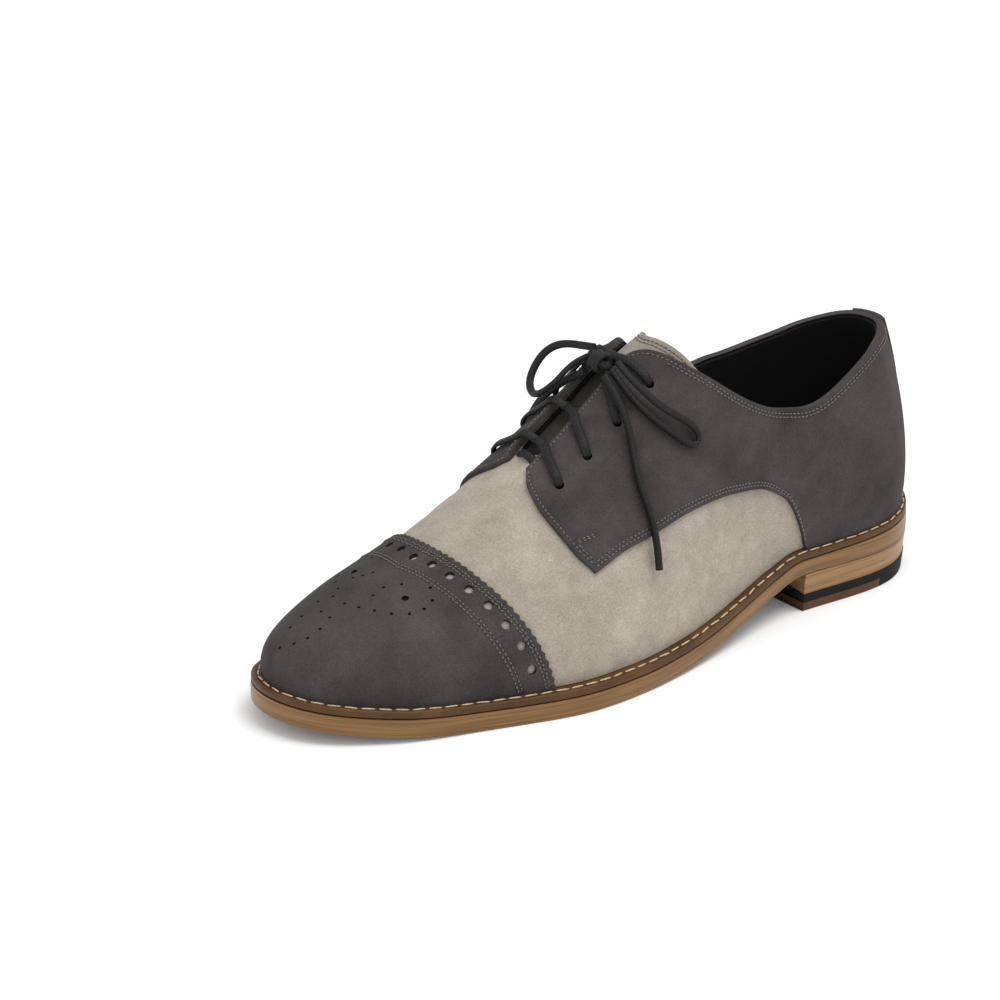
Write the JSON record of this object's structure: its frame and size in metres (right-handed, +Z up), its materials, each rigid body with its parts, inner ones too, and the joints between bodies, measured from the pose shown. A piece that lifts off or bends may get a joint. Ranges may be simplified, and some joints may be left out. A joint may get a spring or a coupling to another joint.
{
  "type": "spectator shoe",
  "caption": "Spectator derby shoe for the left foot: dark grey toe cap and quarters on a pale suede vamp, leather sole with a stacked heel, black laces tied in a bow.",
  "frame": {"origin": "middle of the shoe's plan, on the floor it stands on", "axes": "+X to the toe, +Y to the wearer's left, which is the outer side of this left shoe, +Z up"},
  "size_m": [0.305, 0.1106, 0.118],
  "materials": {
    "sole_leather": "tan, layered edge",
    "welt_leather": "brown, waxed",
    "insole_sock": "matt black",
    "heel_leather": "tan, smooth",
    "heel_rubber": "matt black",
    "suede": "light warm-grey suede",
    "nubuck": "dark grey nubuck",
    "lace": "black waxed cotton"
  },
  "bodies": {
    "root": {"outsole": "sole_leather", "welt": "welt_leather", "insole": "insole_sock", "heel_lift": "heel_leather", "heel_rubber": "heel_rubber", "heel_leather_insert": "heel_leather", "upper": "suede", "toe_cap": "nubuck", "quarter_lateral": "nubuck", "quarter_medial": "nubuck", "heel_strip": "nubuck", "tongue": "suede", "lace_bar": "lace", "lace_crossing_1": "lace", "lace_crossing_2": "lace", "lace_crossing_3": "lace", "lace_crossing_4": "lace", "lace_knot": "lace", "lace_loop_lateral": "lace", "lace_loop_medial": "lace", "lace_end_lateral": "lace", "lace_end_medial": "lace"}
  },
  "joints": []
}
